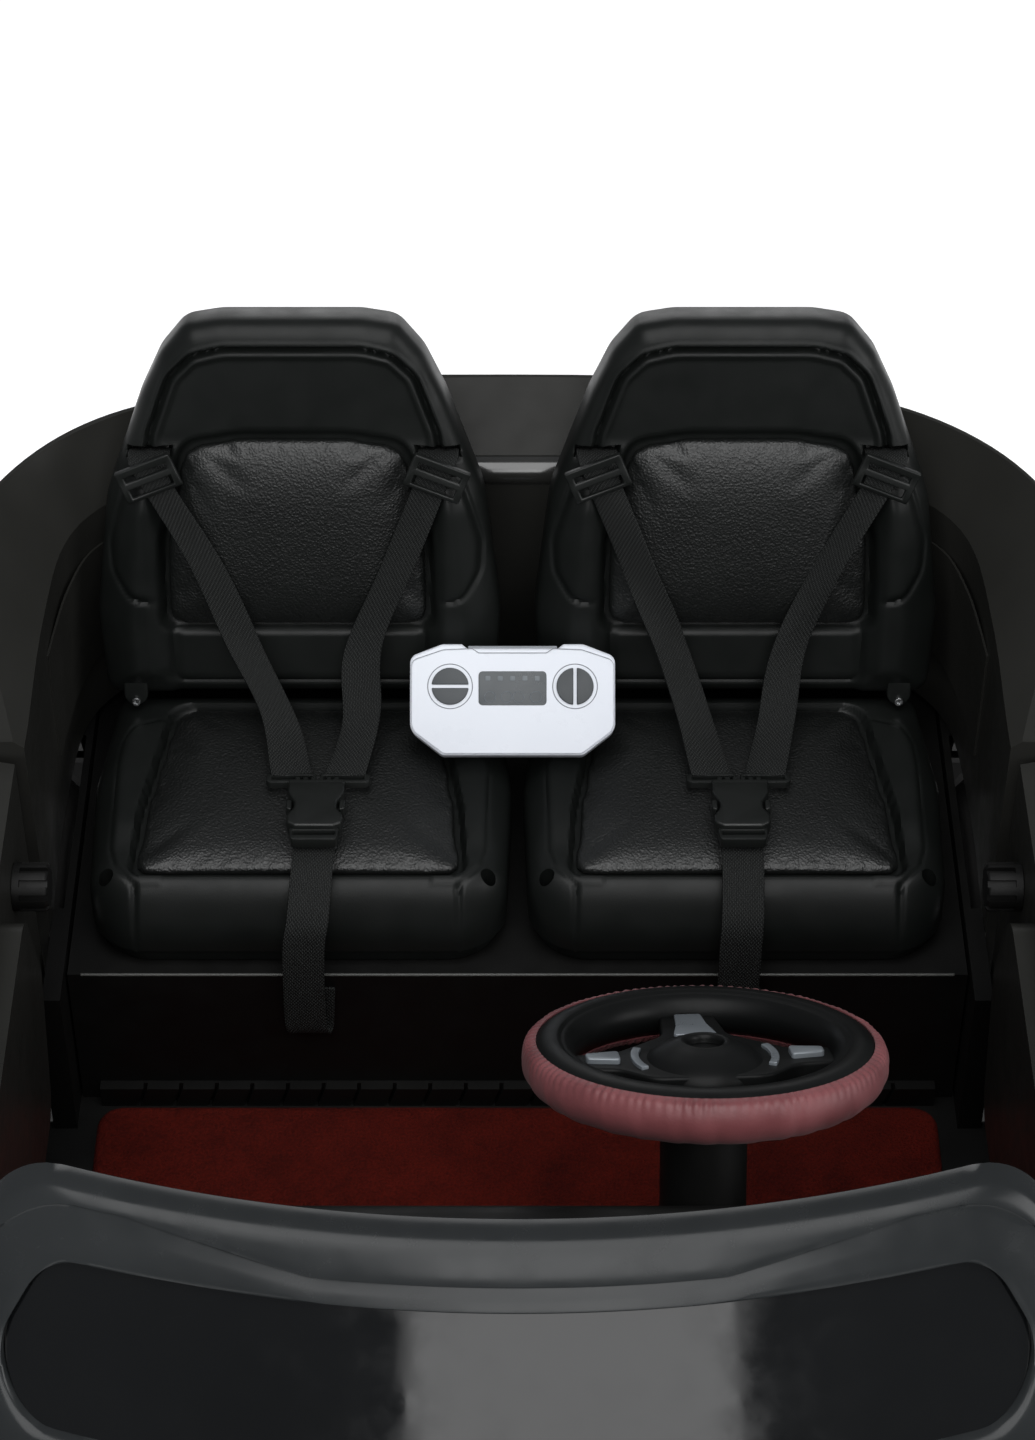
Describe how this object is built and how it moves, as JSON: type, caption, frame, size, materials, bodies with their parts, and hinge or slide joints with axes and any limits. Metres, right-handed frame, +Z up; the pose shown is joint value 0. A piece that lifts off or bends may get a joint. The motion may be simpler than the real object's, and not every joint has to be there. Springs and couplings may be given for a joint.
{
  "type": "electric ride-on car",
  "caption": "Open-top two-seat electric ride-on car for children with padded bucket seats, harnesses, steering wheel, hinged doors, sprung pedal and hand remote.",
  "frame": {"origin": "on the ground under the middle of the car's bounding box", "axes": "+Z up, front of the car towards -Y, the car's left side towards +X"},
  "size_m": [0.824, 1.2924, 0.5296],
  "materials": {
    "body_black": "satin gloss moulded plastic",
    "moulded_black": "moulded black plastic",
    "seat_black": "satin moulded plastic",
    "pad_leather": "pebble grain",
    "webbing": "woven webbing",
    "carpet_red": "flocked mat",
    "cover_red": "gathered soft cover",
    "trim_grey": "silver grey plastic",
    "screen_smoke": "glossy dark plastic",
    "tyre_black": "soft moulded tyre",
    "rim_silver": "silver plastic",
    "lamp_clear": "clear lens plastic",
    "lamp_red": "red lens plastic",
    "steel": "zinc plated",
    "battery_grey": "moulded case",
    "remote_white": "glossy white plastic",
    "key_grey": "soft touch plastic"
  },
  "bodies": {
    "chassis": {"rear_body": "body_black", "front_body": "body_black", "bonnet": "body_black", "side_mirrors": "body_black", "seat_bench": "body_black", "lower_tub": "moulded_black", "bumpers": "moulded_black", "grille": "moulded_black", "arch_trims": "moulded_black", "dashboard": "moulded_black", "harness_hardware": "moulded_black", "control_box": "moulded_black", "gearboxes": "moulded_black", "seat_base_left": "seat_black", "seat_base_right": "seat_black", "seat_back_left": "seat_black", "seat_back_right": "seat_black", "base_pad_left": "pad_leather", "base_pad_right": "pad_leather", "back_pad_left": "pad_leather", "back_pad_right": "pad_leather", "harness_left": "webbing", "harness_right": "webbing", "carpet_mat": "carpet_red", "windscreen_frame": "screen_smoke", "windscreen_pane": "screen_smoke", "headlights": "lamp_clear", "taillights": "lamp_red", "rear_axle": "steel", "front_beam": "steel", "drive_motors": "steel", "door_hinges": "steel", "seat_screws": "steel", "battery": "battery_grey"},
    "steering": {"steering_wheel": "moulded_black", "steering_cover": "cover_red", "spoke_trim": "trim_grey", "steering_shaft": "moulded_black"},
    "horn_left": {"horn_button_left": "trim_grey"},
    "horn_right": {"horn_button_right": "trim_grey"},
    "tie": {"tie_plate": "steel"},
    "hub_left": {"knuckle_left": "steel"},
    "hub_right": {"knuckle_right": "steel"},
    "wheel_front_left": {"tyre_front_left": "tyre_black", "rim_front_left": "rim_silver"},
    "wheel_front_right": {"tyre_front_right": "tyre_black", "rim_front_right": "rim_silver"},
    "wheel_rear_left": {"tyre_rear_left": "tyre_black", "rim_rear_left": "rim_silver"},
    "wheel_rear_right": {"tyre_rear_right": "tyre_black", "rim_rear_right": "rim_silver"},
    "left_door": {"door_left": "body_black"},
    "right_door": {"door_right": "body_black"},
    "left_lock": {"door_knob_left": "moulded_black"},
    "right_lock": {"door_knob_right": "moulded_black"},
    "pedal": {"accelerator_pedal": "moulded_black"},
    "starter": {"power_button": "moulded_black"},
    "remote": {"remote_case": "remote_white"},
    "drive_key": {"remote_drive_key": "key_grey"},
    "steer_key": {"remote_steer_key": "key_grey"}
  },
  "joints": [
    {"name": "steering_turn", "type": "hinge", "parent": "chassis", "child": "steering", "pos_m": [0.098, 0.069, 0.4], "axis": [0, 0.5, 0.866], "range_deg": [-25, 25]},
    {"name": "tie_slide", "type": "slide", "parent": "chassis", "child": "tie", "axis": [1, 0, 0], "range_m": [-0.0222, 0.0222]},
    {"name": "knuckle_left_turn", "type": "hinge", "parent": "chassis", "child": "hub_left", "pos_m": [0.262, -0.4, 0.115], "axis": [0, 0, 1], "range_deg": [-21, 21]},
    {"name": "knuckle_right_turn", "type": "hinge", "parent": "chassis", "child": "hub_right", "pos_m": [-0.262, -0.4, 0.115], "axis": [0, 0, 1], "range_deg": [-21, 21]},
    {"name": "wheel_front_left_spin", "type": "hinge", "parent": "hub_left", "child": "wheel_front_left", "pos_m": [0.322, -0.4, 0.115], "axis": [1, 0, 0], "continuous": true},
    {"name": "wheel_front_right_spin", "type": "hinge", "parent": "hub_right", "child": "wheel_front_right", "pos_m": [-0.322, -0.4, 0.115], "axis": [1, 0, 0], "continuous": true},
    {"name": "wheel_rear_left_spin", "type": "hinge", "parent": "chassis", "child": "wheel_rear_left", "pos_m": [0.322, 0.4, 0.115], "axis": [1, 0, 0], "continuous": true},
    {"name": "wheel_rear_right_spin", "type": "hinge", "parent": "chassis", "child": "wheel_rear_right", "pos_m": [-0.322, 0.4, 0.115], "axis": [1, 0, 0], "continuous": true},
    {"name": "door_left_swing", "type": "hinge", "parent": "chassis", "child": "left_door", "pos_m": [0.371, -0.062, 0.28], "axis": [0, 0, -1], "range_deg": [0, 60]},
    {"name": "door_right_swing", "type": "hinge", "parent": "chassis", "child": "right_door", "pos_m": [-0.371, -0.062, 0.28], "axis": [0, 0, 1], "range_deg": [0, 60]},
    {"name": "lock_left_turn", "type": "hinge", "parent": "left_door", "child": "left_lock", "pos_m": [0.28, 0.242, 0.347], "axis": [1, 0, 0], "range_deg": [0, 90]},
    {"name": "lock_right_turn", "type": "hinge", "parent": "right_door", "child": "right_lock", "pos_m": [-0.28, 0.242, 0.347], "axis": [-1, 0, 0], "range_deg": [0, 90]},
    {"name": "horn_left_press", "type": "slide", "parent": "steering", "child": "horn_left", "axis": [0, -0.5, -0.866], "range_m": [0, 0.0025], "stiffness_N_per_m": 300, "springref_m": -0.002},
    {"name": "horn_right_press", "type": "slide", "parent": "steering", "child": "horn_right", "axis": [0, -0.5, -0.866], "range_m": [0, 0.0025], "stiffness_N_per_m": 300, "springref_m": -0.002},
    {"name": "pedal_press", "type": "hinge", "parent": "chassis", "child": "pedal", "pos_m": [0.045, -0.07, 0.136], "axis": [1, 0, 0], "range_deg": [0, 18], "stiffness_Nm_per_rad": 0.6, "springref_deg": -14.9},
    {"name": "power_press", "type": "slide", "parent": "chassis", "child": "starter", "axis": [0, -1, 0], "range_m": [0, 0.003], "stiffness_N_per_m": 300, "springref_m": -0.002},
    {"name": "remote_lift", "type": "slide", "parent": "chassis", "child": "remote", "axis": [0, -0.6691, 0.7431], "range_m": [0, 0.25]},
    {"name": "drive_key_rock", "type": "hinge", "parent": "remote", "child": "drive_key", "pos_m": [-0.04, 0.42023, 0.33664], "axis": [1, 0, 0], "range_deg": [-5, 5], "stiffness_Nm_per_rad": 0.05},
    {"name": "steer_key_rock", "type": "hinge", "parent": "remote", "child": "steer_key", "pos_m": [0.034, 0.42023, 0.33664], "axis": [0, 0.7431, 0.6691], "range_deg": [-5, 5], "stiffness_Nm_per_rad": 0.05}
  ],
  "couplings": [
    {"joint": "tie_slide", "follows": "steering_turn", "m_per_rad": 0.0489},
    {"joint": "knuckle_left_turn", "follows": "steering_turn", "ratio": 0.824},
    {"joint": "knuckle_right_turn", "follows": "steering_turn", "ratio": 0.824}
  ]
}
